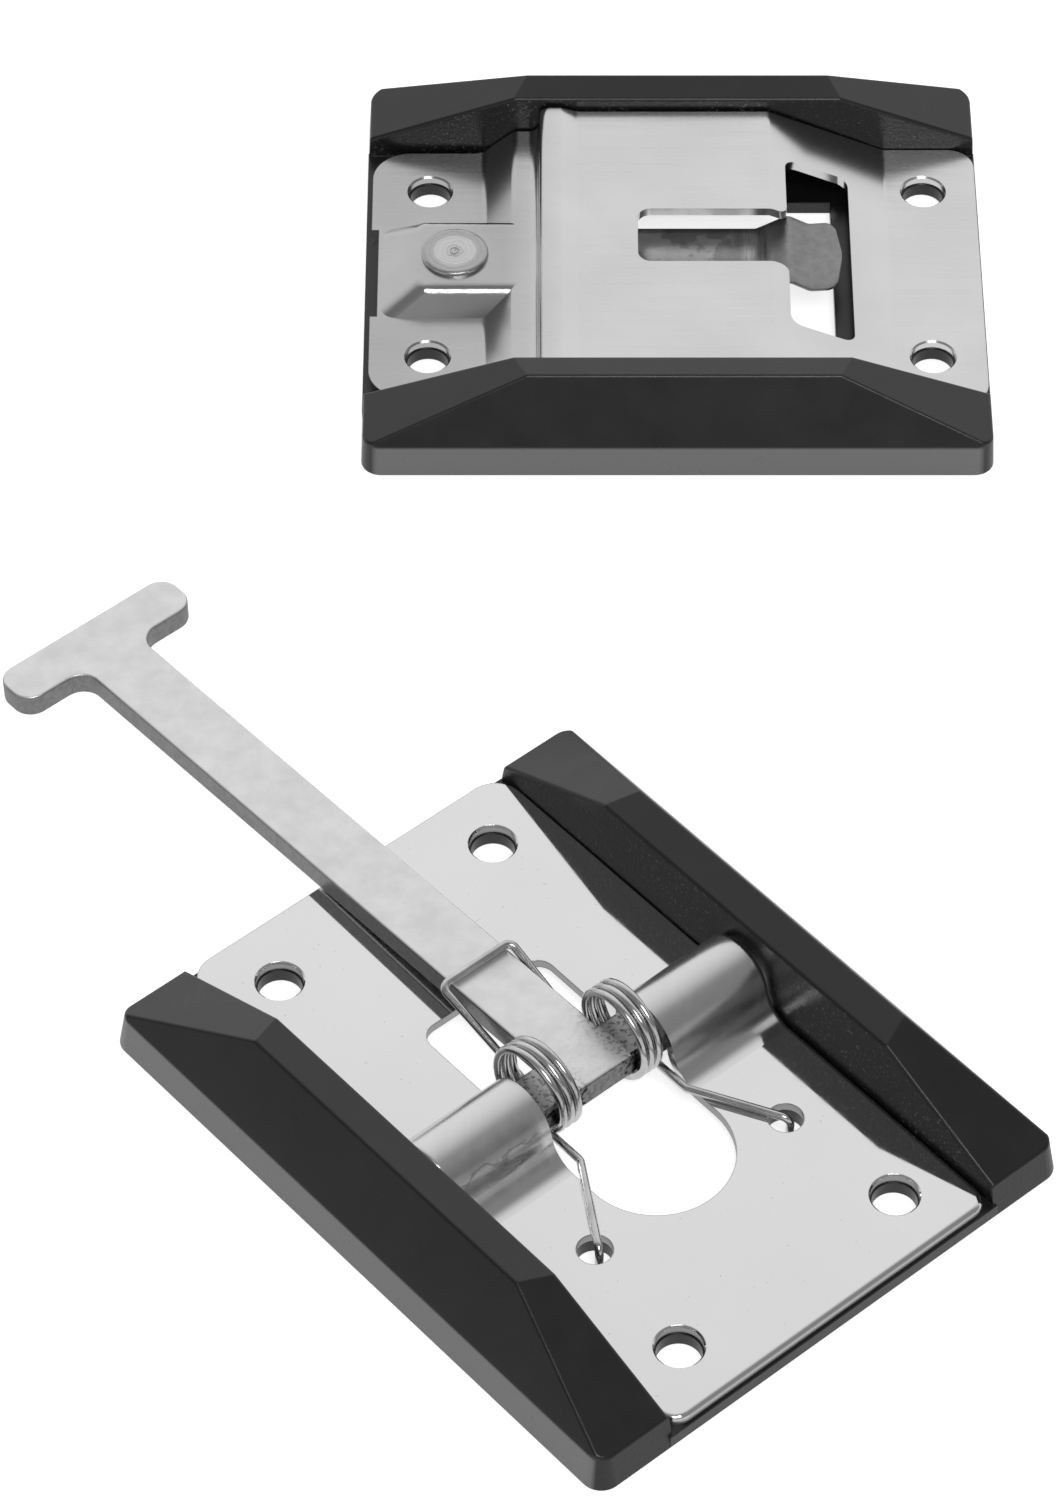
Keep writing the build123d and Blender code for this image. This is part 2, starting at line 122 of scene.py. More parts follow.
# %% [markdown]
# **Patterns** stand for the cloudiness of a rolled sheet, the lines that a die draws and the
# grain of a mould. They could be painted on unwrapped meshes, but these pieces need no
# unwrapping: `Object` coordinates are real metres on every one of them. So a noise with a scale
# of 1000 has a grain about one millimetre wide, and a mask can be given in millimetres too.

# %% Patterns


def local_place(material, turn=0.0, stretch=(1, 1, 1), origin=(0, 0, 0)):
    """Object coordinates from `origin`, scaled by `stretch`, then turned about the vertical."""
    place = add_node(material, "ShaderNodeTexCoord").outputs["Object"]
    shift = add_node(material, "ShaderNodeVectorMath", operation="SUBTRACT")
    shift.inputs[1].default_value = origin
    wire(material, place, shift.inputs[0])
    mapping = add_node(material, "ShaderNodeMapping", Scale=stretch, Rotation=(0, 0, turn))
    wire(material, shift.outputs["Vector"], mapping.inputs["Vector"])
    return mapping.outputs["Vector"]


def part_of(material, vector, axis):
    """One coordinate of a vector, as a pattern."""
    node = add_node(material, "ShaderNodeSeparateXYZ")
    wire(material, vector, node.inputs["Vector"])
    return node.outputs[axis]


def noise(material, scale, detail=3.0, roughness=0.5, stretch=(1, 1, 1), turn=0.0):
    """Noise in object space. A `stretch` below 1 drags it out along that axis of the frame."""
    texture = add_node(
        material, "ShaderNodeTexNoise", Scale=scale, Detail=detail, Roughness=roughness
    )
    wire(material, local_place(material, turn, stretch), texture.inputs["Vector"])
    return texture.outputs["Fac"]


print("a noise scale of 1000 has a grain of about", 1 / 1000 / mm, "mm")

# %% [markdown]
# **Arithmetic.** Wear is one pattern taken from another, and a mask is a distance squeezed into
# the range from 0 to 1. A colour ramp could do the squeezing, but it takes only numbers from 0
# to 1, while a Map Range node takes millimetres as they are. The other helpers combine any
# number of patterns, turn a mask round, and let one pattern give way to another.

# %% Arithmetic on patterns
noise_range = (0.3, 0.7)


def between(material, value, low, high, over=noise_range):
    """`low` where the value is at the start of `over`, `high` at its end, and held past them."""
    start, end = over
    node = add_node(
        material, "ShaderNodeMapRange", From_Min=start, From_Max=end, To_Min=low, To_Max=high
    )
    wire(material, value, node.inputs["Value"])
    return node.outputs["Result"]


def combined(material, operation, first, *others):
    """Arithmetic on patterns and numbers, from left to right."""
    if len(others) > 1:
        first = combined(material, operation, first, *others[:-1])
    node = add_node(material, "ShaderNodeMath", operation=operation)
    for socket, value in zip(node.inputs, (first, *others[-1:])):
        if isinstance(value, (int, float)):
            socket.default_value = value
        else:
            wire(material, value, socket)
    return node.outputs["Value"]


def opposite(material, mask):
    """1 where the mask is 0, and 0 where it is 1."""
    return combined(material, "SUBTRACT", 1.0, mask)


def crossfade(material, first, second, share):
    """The first pattern, or the second where `share` is 1."""
    gap = combined(material, "SUBTRACT", second, first)
    return combined(material, "ADD", first, combined(material, "MULTIPLY", share, gap))


print("most of a noise lies between", noise_range[0], "and", noise_range[1])

# %% [markdown]
# **What a pattern can change** is the surface's grey, its gloss and its relief. The relief of a
# finish could be real, but a grain of a few hundredths of a millimetre would need millions of
# faces. A Bump node only tilts the surface for the light, which is enough for such a shallow one.

# %% Grey, gloss and relief


def shade(material, shader, tint):
    """Gives the surface a grey that is as bright as the pattern."""
    node = add_node(material, "ShaderNodeCombineColor")
    for socket in node.inputs:
        wire(material, tint, socket)
    wire(material, node.outputs["Color"], shader.inputs["Base Color"])


def roughen(material, shader, amount):
    """Makes the surface as rough as the pattern."""
    wire(material, amount, shader.inputs["Roughness"])


def bump(material, shader, height, distance, strength=1.0):
    """Raises the surface by a pattern, on top of bumps that are there already."""
    node = add_node(material, "ShaderNodeBump", Distance=distance, Strength=strength)
    wire(material, height, node.inputs["Height"])
    normal = shader.inputs["Normal"]
    if normal.is_linked:
        wire(material, normal.links[0].from_socket, node.inputs["Normal"])
    wire(material, node.outputs["Normal"], normal)


print("sockets that patterns reach: Base Color, Roughness, Normal")

# %% [markdown]
# ** Edges.** Real edges are never quite sharp. They could be bevels on the mesh, but a CAD
# piece's mesh is never changed. A Bevel node bends only the shading, and it does a second job:
# where its normal leaves the surface's own, there is an edge, and a finish can darken a thin
# line there. The cut sides of a sheet are found by the direction that they face.

# %% Edges
bevel_samples = 6


def facing_up(material, low=0.5, high=0.9):
    """1 on surfaces that face up or down on the piece, 0 on its steep sides."""
    normal = add_node(material, "ShaderNodeTexCoord").outputs["Normal"]
    tilt = combined(material, "ABSOLUTE", part_of(material, normal, "Z"))
    return between(material, tilt, 0.0, 1.0, over=(low, high))


def own_normal(material):
    """The way that the surface really faces."""
    return add_node(material, "ShaderNodeNewGeometry").outputs["Normal"]


def eased_normal(material, radius):
    """A normal that turns gently past sharp edges."""
    node = add_node(material, "ShaderNodeBevel", Radius=radius, samples=bevel_samples)
    return node.outputs["Normal"]


def at_edges(material, radius):
    """1 along sharp edges, 0 elsewhere."""
    match = add_node(material, "ShaderNodeVectorMath", operation="DOT_PRODUCT")
    wire(material, own_normal(material), match.inputs[0])
    wire(material, eased_normal(material, radius), match.inputs[1])
    return between(material, match.outputs["Value"], 1.0, 0.0, over=(0.60, 0.95))


def soft_edges(material, shader, radius, curved=None):
    """Rounds the shading of sharp edges, but leaves the surface alone where `curved` is 1."""
    normal = eased_normal(material, radius)
    if curved is not None:
        mix = add_node(material, "ShaderNodeMix", data_type="VECTOR")
        wire(material, curved, mix.inputs["Factor"])
        ends = [socket for socket in mix.inputs if socket.enabled and socket.name in ("A", "B")]
        wire(material, normal, ends[0])
        wire(material, own_normal(material), ends[1])
        normal = next(socket for socket in mix.outputs if socket.enabled)
    wire(material, normal, shader.inputs["Normal"])


print("rays that look for an edge at each point:", bevel_samples)

# %% [markdown]
# **Finishing a CAD piece.** Each one comes with a plain material of its own. Another copy of
# the piece could be made for the new finish, but the piece is already in its place. So its
# material is changed for the new one and its mesh is left alone.

# %% Finishing a node


def finish_with(name, material):
    """Gives a CAD node this material in place of its plain one."""
    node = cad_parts[name]
    node.data.materials.clear()
    node.data.materials.append(material)
    print(name, "is finished with", material.name)


print("nodes still plain:", len(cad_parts))

# %% [markdown]
# **A wrinkle.** At the foot of one barrel's roll the sheet has torn into a thin wavy line in a
# dull band. It could be cut into the mesh, but it is only skin deep. So it is drawn: distance
# from a straight line along the barrel makes it, and a noise in that distance makes it waver.

# %% The torn seam
seam_along = 5.6 * mm
seam_wanders = 0.4 * mm
seam_line = (0.05 * mm, 0.30 * mm)  # where its dark line fades, to each side
seam_band = (0.3 * mm, 2.4 * mm)  # where the dull band round it fades
front_barrel = (-13 * mm, -12 * mm)  # across


def torn_seam(material, place):
    """Where the roll's foot wrinkled: a wavy torn line in a dull band, on the front barrel."""
    wave = between(material, noise(material, 260.0, roughness=0.55), -seam_wanders, seam_wanders)
    off_line = combined(material, "SUBTRACT", part_of(material, place, "X"), seam_along)
    off_line = combined(material, "ABSOLUTE", combined(material, "ADD", off_line, wave))
    line = between(material, off_line, 0.40, 0.0, over=seam_line)
    dull = between(material, off_line, 0.26, 0.0, over=seam_band)
    on_barrel = between(material, part_of(material, place, "Y"), 1.0, 0.0, over=front_barrel)
    return combined(material, "MULTIPLY", combined(material, "MAXIMUM", line, dull), on_barrel)


print("seam lies", seam_along / mm, "mm from the latch unit's middle")

# %% [markdown]
# ** Polished stainless.** The latch plate is bright annealed sheet: nearly a mirror, so the
# black rubber walls stand in it upside down. Where the sheet is rolled into the two barrels it
# stretches, and its skin turns to a satin with faint drawn lines. The blanked edges are grey
# and rough. Each of these could be a material of its own, but the plate is one piece of sheet
# and they run into each other. So one graph does them all: height above the flat picks out the
# barrels, and the direction that the surface faces picks out the cut edges. The thin darker line
# along sharp edges and the pits of the flats are kept off the barrels, whose many small facets
# would catch them.

# %% Polished sheet
plate_top = 3.5 * mm


def above_plate(low, high):
    """Two heights over the plate's face, from millimetres."""
    return plate_top + low * mm, plate_top + high * mm


def polished_sheet():
    """Mirror flats, satin barrels and grey torn edges."""
    material, shader = new_material("polished_sheet", base=0.82, metallic=1.0, roughness=0.08)
    place = local_place(material, -latch_turn)
    height = part_of(material, place, "Z")
    curved = between(material, height, 0.0, 1.0, over=above_plate(0.02, 0.05))
    soft_edges(material, shader, radius=0.15 * mm, curved=curved)

    rolled = between(material, height, 0.0, 1.0, over=above_plate(0.1, 1.0))
    low = between(material, height, 1.0, 0.0, over=above_plate(0.2, 0.6))
    edge = opposite(material, facing_up(material, low=0.3, high=0.6))
    cut = combined(material, "MULTIPLY", edge, low)
    lines = noise(material, 900.0, roughness=0.6, stretch=(1.0, 0.04, 1.0), turn=-latch_turn)

    flat_gloss = between(material, noise(material, 300.0, detail=4.0), 0.045, 0.085)
    rolled_gloss = between(material, lines, 0.22, 0.25)
    gloss = crossfade(material, flat_gloss, rolled_gloss, rolled)
    cut_gloss = combined(material, "MULTIPLY", cut, 0.4)
    roughen(material, shader, combined(material, "MAXIMUM", gloss, cut_gloss))

    cloud = between(material, noise(material, 30.0), 0.80, 0.84)
    drawn = combined(material, "MULTIPLY", rolled, between(material, lines, 0.15, 0.12))
    torn = combined(material, "MULTIPLY", cut, 0.45)
    # a thin darker line along the sharp edges of the flats
    dark_edge_line = combined(material, "MULTIPLY", at_edges(material, radius=0.4 * mm), 0.7)
    pits = between(material, noise(material, 1300.0, detail=1.0), 0.0, 0.12, over=(0.76, 0.80))
    marks = combined(material, "ADD", dark_edge_line, pits)
    marks = combined(material, "MULTIPLY", marks, opposite(material, rolled))
    seam = combined(material, "MULTIPLY", torn_seam(material, place), rolled)
    marks = combined(material, "ADD", marks, seam)
    shade(material, shader, combined(material, "SUBTRACT", cloud, drawn, torn, marks))
    bump(material, shader, noise(material, 55.0, detail=2.0), distance=0.03 * mm, strength=0.12)
    return material


finish_with("latch_plate", polished_sheet())

# %% [markdown]
# ** Satin stainless.** The keeper's plate is deep-pressed from a sheet of the same thickness,
# which stretches its skin into a softer satin with rolling lines along it. Its end with the
# drawn boss is painted darker, as painted shade for the light that falls off towards it. It could
# be the polished finish made rougher, but the lines are what tell it apart. The lines are a noise
# dragged out along the sheet, kept to the level faces, and the painted shade is a ramp along the
# keeper.

# %% Satin sheet
# painted shade: over this span the keeper's boss end is painted darker
shaded_end = (-26 * mm, -17 * mm)  # along


def satin_sheet():
    """Satin with rolling lines on the level faces, and painted shade darkening the boss end."""
    material, shader = new_material("satin_sheet", base=0.70, metallic=1.0, roughness=0.24)
    level = facing_up(material, low=0.95, high=0.995)
    lines = noise(material, 1100.0, detail=5.0, roughness=0.65, stretch=(0.04, 1.0, 1.0))
    lines = combined(material, "MULTIPLY", lines, level)
    roughen(material, shader, between(material, lines, 0.20, 0.30))
    bump(material, shader, lines, distance=0.008 * mm, strength=0.4)

    cloud = between(material, noise(material, 50.0, detail=4.0), 0.66, 0.74)
    along = part_of(material, local_place(material, origin=tuple(keeper_centre)), "X")
    # painted shade: darker towards the boss end, where the light falls off
    painted_end_shade = between(material, along, 0.20, 0.0, over=shaded_end)
    # a thin darker line along the sharp edges of the level faces
    dark_edge_line = combined(material, "MULTIPLY", at_edges(material, radius=0.25 * mm), 0.35, level)
    shade(material, shader, combined(material, "SUBTRACT", cloud, painted_end_shade, dark_edge_line))
    return material


finish_with("keeper_plate", satin_sheet())

# %% [markdown]
# ** Tumbled steel.** The T-arm is thick steel, blanked, tumbled and dull-plated: a light satin
# grey with blurred mottling. Its sides are painted much darker than its faces: partly the duller
# grey where blanking tore the edge, partly painted shade for the light that the steep sides miss.
# Beside the coils it is pitted, and its ears are painted darker, as painted shade from the coils
# round them. Two noises could do for the whole arm, but the pits would then be everywhere. So
# distance from the arm's middle line and place along it keep the pits beside the coils and the
# painted shade on the ears.

# %% Tumbled steel
arm_slid = 0.5  # millimetres to one side
pits_begin = (-9 * mm, -3 * mm)  # along
pits_thicken = (2.5 * mm, 4.6 * mm)  # off the arm's middle line
ears_begin = (-9 * mm, -7 * mm)  # along
ears_stand_out = (4.6 * mm, 5.2 * mm)  # off the arm's middle line


def tumbled_steel():
    """Mottled faces, sides painted darker, pits beside the coils and painted shade on the ears.
    """
    material, shader = new_material("tumbled_steel", base=0.7, metallic=1.0, roughness=0.4)
    soft_edges(material, shader, radius=0.3 * mm)
    mottle = noise(material, 260.0, detail=5.0, roughness=0.65)
    fine = noise(material, 1500.0, roughness=0.6)
    faces = between(material, mottle, 0.76, 0.83, over=(0.35, 0.65))
    # the sides' dark grey is partly the torn blanked edge and partly painted shade on faces
    # turned from the light
    sides = between(material, fine, 0.20, 0.28)
    tint = crossfade(material, sides, faces, facing_up(material))

    place = local_place(material, -latch_turn)
    along = part_of(material, place, "X")
    off_middle = combined(material, "SUBTRACT", part_of(material, place, "Y"), arm_slid * mm)
    off_middle = combined(material, "ABSOLUTE", off_middle)
    by_hinge = between(material, along, 0.0, 1.0, over=pits_begin)
    by_coils = between(material, off_middle, 0.05, 0.5, over=pits_thicken)
    pits = between(material, fine, 1.0, 0.12, over=(0.40, 0.50))
    pits = combined(material, "MULTIPLY", by_hinge, by_coils, pits)
    # painted shade: the ears beside the coils are darkened where the coils shade them
    outside = between(material, off_middle, 0.0, 0.42, over=ears_stand_out)
    past_neck = between(material, along, 0.0, 1.0, over=ears_begin)
    painted_ear_shade = combined(material, "MULTIPLY", outside, past_neck)
    tint = combined(material, "SUBTRACT", tint, pits)
    tint = combined(material, "MULTIPLY", tint, opposite(material, painted_ear_shade))
    shade(material, shader, tint)

    roughen(material, shader, between(material, mottle, 0.46, 0.36))
    bump(material, shader, mottle, distance=0.02 * mm, strength=0.4)
    bump(material, shader, fine, distance=0.01 * mm, strength=0.4)
    return material


finish_with("t_arm", tumbled_steel())

# %% [markdown]
# ** Moulded rubber.** The bumpers are black rubber from an eroded steel mould: very dark, with
# a fine grain on the steep faces and a smoother top. The inner walls are specked with dust,
# and the low skirt along the outer long sides is painted light grey, as a painted reflection of
# the pale floor beside it. Rubber is no metal, so what it shows is a dim soft sheen over near
# black. A flat black with one bump could stand for it, but then all its faces would look alike.
# So the distance across the unit is multiplied by the way that the surface faces: the result is
# large on outer walls and negative on inner ones.

# %% Moulded rubber
inner_walls = (-20 * mm, -8 * mm)  # outwardness
outer_walls = (34 * mm, 39 * mm)  # outwardness
skirt_top = (5.0 * mm, 5.5 * mm)  # up


def outwardness(material, turn, centre):
    """Metres across the unit, positive on faces that look outwards and negative inwards."""
    faces = add_node(material, "ShaderNodeMapping", Rotation=(0, 0, -turn))
    normal = add_node(material, "ShaderNodeTexCoord").outputs["Normal"]
    wire(material, normal, faces.inputs["Vector"])
    across = part_of(material, local_place(material, -turn, origin=tuple(centre)), "Y")
    return combined(material, "MULTIPLY", across, part_of(material, faces.outputs["Vector"], "Y"))


def moulded_rubber(name, turn, centre):
    """The rubber of the unit that stands at `centre`, turned about the vertical."""
    material, shader = new_material(name, base=0.012, metallic=0.0, roughness=0.35)
    shader.inputs["Specular IOR Level"].default_value = 0.52
    soft_edges(material, shader, radius=0.25 * mm)
    steep = opposite(material, facing_up(material, low=0.25, high=0.45))
    grain = noise(material, 2200.0, roughness=0.6)
    grain = combined(material, "MULTIPLY", grain, combined(material, "ADD", steep, 0.25))
    bump(material, shader, grain, distance=0.06 * mm, strength=0.6)

    outward = outwardness(material, turn, centre)
    inner_wall = between(material, outward, 1.0, 0.0, over=inner_walls)
    specks = noise(material, 2200.0, detail=2.0, roughness=0.7)
    specks = between(material, specks, 0.0, 0.16, over=(0.60, 0.72))
    patches = between(material, noise(material, 60.0, roughness=0.6), 0.25, 1.0, over=(0.42, 0.6))
    dust = combined(material, "MULTIPLY", specks, steep, patches, inner_wall)

    height = part_of(material, local_place(material), "Z")
    # painted reflection: the low outer skirt is painted lighter for the pale floor that it
    # mirrors
    low = between(material, height, 1.0, 0.0, over=skirt_top)
    long_side = between(material, outward, 0.0, 0.20, over=outer_walls)
    skirt_reflection = combined(material, "MULTIPLY", long_side, low)
    cloud = noise(material, 110.0, detail=4.0, roughness=0.6)
    cloud = between(material, cloud, 0.006, 0.010)
    shade(material, shader, combined(material, "ADD", cloud, dust, skirt_reflection))
    gloss = noise(material, 140.0, detail=4.0, roughness=0.6)
    roughen(material, shader, between(material, gloss, 0.26, 0.34))
    return material


finish_with("latch_bumper", moulded_rubber("latch_rubber", latch_turn, Vector()))
finish_with("keeper_bumper", moulded_rubber("keeper_rubber", 0.0, keeper_centre))

# %% [markdown]
# **The rivet** was staked by a spinning tool, which leaves rings and a worn pit on its head.
# The rings could be cut into the mesh, but they are far too fine to be worth its faces. They
# are a sine of the distance from the rivet's middle, and a little noise in that distance makes
# them wander as real ones do.

# %% Turned head
rivet_along = -33.4  # millimetres
ring_crowding = 9000.0  # radians in a metre, which is a ring every 0.7 mm
rings_wander = 0.35 * mm
pit_edge = (0.5 * mm, 1.7 * mm)
rim_edge = (3.0 * mm, 3.6 * mm)


def length_of(material, vector):
    """How long a vector is, as a pattern."""
    node = add_node(material, "ShaderNodeVectorMath", operation="LENGTH")
    wire(material, vector, node.inputs[0])
    return node.outputs["Value"]


def turned_head():
    """Wandering rings, a worn pit in the middle and a darker rim."""
    material, shader = new_material("turned_head", base=0.6, metallic=1.0, roughness=0.28)
    place = local_place(material, origin=tuple(on_keeper(rivet_along, 0.0, 0.0)))
    level = add_node(material, "ShaderNodeVectorMath", operation="MULTIPLY")
    level.inputs[1].default_value = (1.0, 1.0, 0.0)
    wire(material, place, level.inputs[0])
    radius = length_of(material, level.outputs["Vector"])
    wobble = noise(material, 500.0, detail=4.0, roughness=0.6)
    wobble = between(material, wobble, -rings_wander, rings_wander)
    uneven = combined(material, "ADD", radius, wobble)
    rings = combined(material, "SINE", combined(material, "MULTIPLY", uneven, ring_crowding))
    pit = between(material, uneven, 1.0, 0.0, over=pit_edge)
    rim = between(material, radius, 0.0, 1.0, over=rim_edge)
    swirl = combined(material, "MULTIPLY", rings, combined(material, "MAXIMUM", pit, 0.22))
    bump(material, shader, swirl, distance=0.06 * mm, strength=0.8)

    tint = combined(material, "ADD", combined(material, "MULTIPLY", swirl, 0.10), 0.60)
    worn_rim = combined(material, "MULTIPLY", rim, 0.16)
    worn_pit = combined(material, "MULTIPLY", pit, 0.12)
    shade(material, shader, combined(material, "SUBTRACT", tint, worn_rim, worn_pit))
    gloss = noise(material, 900.0, roughness=0.6)
    roughen(material, shader, between(material, gloss, 0.22, 0.36))
    return material


finish_with("leaf_rivet", turned_head())

# %% [markdown]
# **A wire's middle line** is straight runs with bends of one radius, as a bending tool makes
# them. It could be a smooth curve through a few points, but that would sag between them, and
# spring wire is stiff. So one helper lists the points of straight runs with arcs at their
# corners, and another divides the runs, because a piece can bend only where it has points.

# %% Points along a wire


def rounded(corners, radius, steps=8):
    """The points of a path through these corners, with each corner rounded by an arc."""
    corners = [Vector(corner) for corner in corners]
    points = [corners[0]]
    for before, corner, after in zip(corners, corners[1:], corners[2:]):
        a, b = (before - corner).normalized(), (after - corner).normalized()
        half = a.angle(b) / 2
        reach = radius / math.tan(half)
        middle = corner + (a + b).normalized() * (radius / math.sin(half))
        start, end = corner + a * reach - middle, corner + b * reach - middle
        turn = start.angle(end)
        for i in range(steps + 1):
            there = math.sin(turn * i / steps) / math.sin(turn)
            here = math.sin(turn * (1 - i / steps)) / math.sin(turn)
            points.append(middle + start * here + end * there)
    points.append(corners[-1])
    return points


def in_steps(points, step):
    """The same path with no run longer than `step`."""
    path = [points[0]]
    for here, there in zip(points, points[1:]):
        count = max(1, math.ceil((there - here).length / step))
        path += [here.lerp(there, (i + 1) / count) for i in range(count)]
    return path


right_angle = rounded([(0, 0, 0), (10, 0, 0), (10, 10, 0)], radius=2)
print("a path round a right angle has", len(right_angle), "points")

# %% [markdown]
# **The torsion spring** is one bent wire: a hook in the plate, a leg, three turns, a bail over
# the arm, and the same again. It pulls the arm back down flat. A Screw modifier could wind its
# coils, but the legs and the bail must leave them smoothly. So the whole line is worked out: a
# coil is a circle that moves sideways as it turns, and the bail leaves it at the angle where
# the wire points straight at the bail's corner.

# %% The spring's sizes, in millimetres on the latch unit
wire_radius = 0.6
wire_bend = 1.2
coil_centre = (-1.2, 8.3)  # along, up
coil_radius = 6.4
coil_outer = 9.5  # across, before the slide to one side
coil_bottom = -90.0  # degrees, as seen along the hinge
pitch = 1.3
turns = 3
leg_leaves = -50.0  # degrees
leg_height = 4.15
leg_turns_in = 9.8  # along
hook_hole = (22.9, 17.1)  # along, across
hook_depth = 2.6
bail_along = -22.3
bail_height = 9.21
bail_half = 6.2  # across
print("wire in each coil, mm:", round(2 * math.pi * coil_radius * turns, 1))

# %% [markdown]
# **The leg** comes up out of its hole in the plate, runs level until it is in the coil's plane,
# and climbs to meet the coil. It could end anywhere near the coil, but a wire has no kinks. So
# its last run has the slope that the coil has where the two meet.

# %% The leg's line


def on_coil(angle, across):
    """A point of the coil's middle line, by its angle seen along the hinge."""
    a = math.radians(angle)
    return (
        coil_centre[0] + coil_radius * math.cos(a),
        across,
        coil_centre[1] + coil_radius * math.sin(a),
    )


def leg_line(outer, step=0.3):
    """Up out of the hole, level to the coil's outer end, and up to meet it."""
    start = on_coil(leg_leaves, outer)
    slope = math.radians(leg_leaves + 90)
    run = (leg_height - start[2]) / math.sin(slope)
    corners = [
        (*hook_hole, leg_height - hook_depth),
        (*hook_hole, leg_height),
        (leg_turns_in, outer, leg_height),
        (start[0] + math.cos(slope) * run, outer, leg_height),
        start,
    ]
    return in_steps(rounded(corners, wire_bend), step)


print("points in a leg:", len(leg_line(coil_outer)))

# %% [markdown]
# **The coil and half of the bail** are a second line. The leg could be part of it, but the two
# have to move in different ways, as a later step says. The spring's other half is the same one
# mirrored, except that the arm and both coils lie slid a little to one side.

# %% The coil's line


def coil_line(outer, lead_steps=8, turn_steps=40, last_steps=20):
    """Down to the coil's lowest point, round its turns, and on to half of the bail."""
    lead = coil_bottom - leg_leaves
    points = [on_coil(leg_leaves + lead * i / lead_steps, outer) for i in range(lead_steps)]
    for i in range(turns * turn_steps + 1):
        share = i / turn_steps
        points.append(on_coil(coil_bottom - 360 * share, outer - pitch * share))
    inner = outer - turns * pitch
    along, up = bail_along - coil_centre[0], bail_height - coil_centre[1]
    leaves = math.atan2(up, along) + math.acos(coil_radius / math.hypot(along, up))
    last = math.degrees(leaves) - 360 - coil_bottom
    points += [on_coil(coil_bottom + last * i / last_steps, inner) for i in range(1, last_steps)]
    bail = [
        on_coil(coil_bottom + last, inner),
        (bail_along, bail_half, bail_height),
        (bail_along, 0, bail_height),
    ]
    return points + rounded(bail, wire_bend)


def on_side(line, side):
    """A line's places on the latch unit: 1 for its back half, -1 for the front."""
    return [on_latch(along, across * side, up) for along, across, up in line]


print("points in a coil and half of the bail:", len(coil_line(coil_outer)))

# %% [markdown]
# **Bright wire.** Spring wire is drawn through a die, which leaves it bright with a faint grain,
# and it carries a few duller patches. Plain chrome could stand for it, but that looks like glass
# in such thin pieces. So its gloss and its grey both follow a noise.

# %% Bright wire


def bright_wire():
    """Bright drawn wire with a faint grain."""
    material, shader = new_material("bright_wire", base=0.62, metallic=1.0, roughness=0.16)
    grain = noise(material, 1800.0, detail=2.0)
    roughen(material, shader, between(material, grain, 0.12, 0.24))
    shade(material, shader, between(material, noise(material, 240.0), 0.52, 0.68))
    bump(material, shader, grain, distance=0.005 * mm, strength=0.3)
    return material


wire_finish = bright_wire()
print("the wire is finished with", wire_finish.name)

# %% [markdown]
# **Round wire that moves.** A flat-sided wire stands for the spring in the CAD model, and here
# a round one takes its place. When the arm swings, the bail goes with it while the hooks stay
# in the plate. The whole wire could be blended from the one to the other, but a blend across
# the coils draws them out.

# %% The spring's four pieces


def tube(name, points, radius, roundness=4):
    """A tube along the points, closed at its ends. A roundness of 4 gives it 12 sides."""
    curve = bpy.data.curves.new(name, "CURVE")
    curve.dimensions = "3D"
    curve.bevel_depth = radius
    curve.bevel_resolution = roundness
    curve.use_fill_caps = True
    line = curve.splines.new("POLY")
    line.points.add(len(points) - 1)
    for point, place in zip(line.points, points):
        point.co = (*place, 1.0)
    drawn = bpy.data.objects.new(name + "_line", curve)
    bpy.context.collection.objects.link(drawn)
    depsgraph = bpy.context.evaluated_depsgraph_get()
    mesh = bpy.data.meshes.new_from_object(drawn.evaluated_get(depsgraph))
    bpy.data.objects.remove(drawn)
    piece = bpy.data.objects.new(name, mesh)
    bpy.context.collection.objects.link(piece)
    for face in mesh.polygons:
        face.use_smooth = True
    print(name, "has", len(mesh.polygons), "faces")
    return piece


for name, side in (("back", 1), ("front", -1)):
    outer = coil_outer + arm_slid * side
    coil = tube(f"spring_{name}_coil", on_side(coil_line(outer), side), wire_radius * mm)
    leg = tube(f"spring_{name}_leg", on_side(leg_line(outer), side), wire_radius * mm)
    for piece in (coil, leg):
        piece.data.materials.append(wire_finish)
        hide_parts("torsion_spring")
    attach(coil, "arm")
    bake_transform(leg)

# %% [markdown]
# **The retaining leaf** is tempered strip, riveted at one end. The keeper holds its tail, and
# the T-head pushes its free end down, so it bends. It could turn stiffly about the rivet, but
# a real leaf bends all along its free part.

# %% The leaf's sizes, in millimetres on the keeper
leaf_top = 6.0
leaf_tail = -37.6
leaf_tip = 25.5
leaf_side_view = [  # along, up
    (leaf_tail, leaf_top),
    (12.6, leaf_top),
    (17.4, 8.8),
    (20.6, 7.0),
    (leaf_tip, 7.4),
]
leaf_thick = 0.5
leaf_bend = 1.3
leaf_rim = 0.08
tail_half = 6.0
tail_corner = 2.5
body_half = 7.25
widens_from = -22.0
widens_over = 4.0
nose_long = 2.3
nose_blunt = 0.8
narrowest = 0.6


def half_width(along):
    """Half of the leaf's width at this place along it."""
    into_nose = along - (leaf_tip - nose_long)
    into_corner = leaf_tail + tail_corner - along
    if into_nose > 0:
        return body_half * math.sqrt(max(0.0, 1 - (into_nose / nose_long) ** 2)) ** nose_blunt
    if into_corner > 0:
        return tail_half - tail_corner + math.sqrt(max(0.0, tail_corner**2 - into_corner**2))
    widening = min(max((along - widens_from) / widens_over, 0.0), 1.0)
    return tail_half + (body_half - tail_half) * widening


print("leaf is", leaf_tip - leaf_tail, "mm long as it lies, and", 2 * body_half, "mm wide")

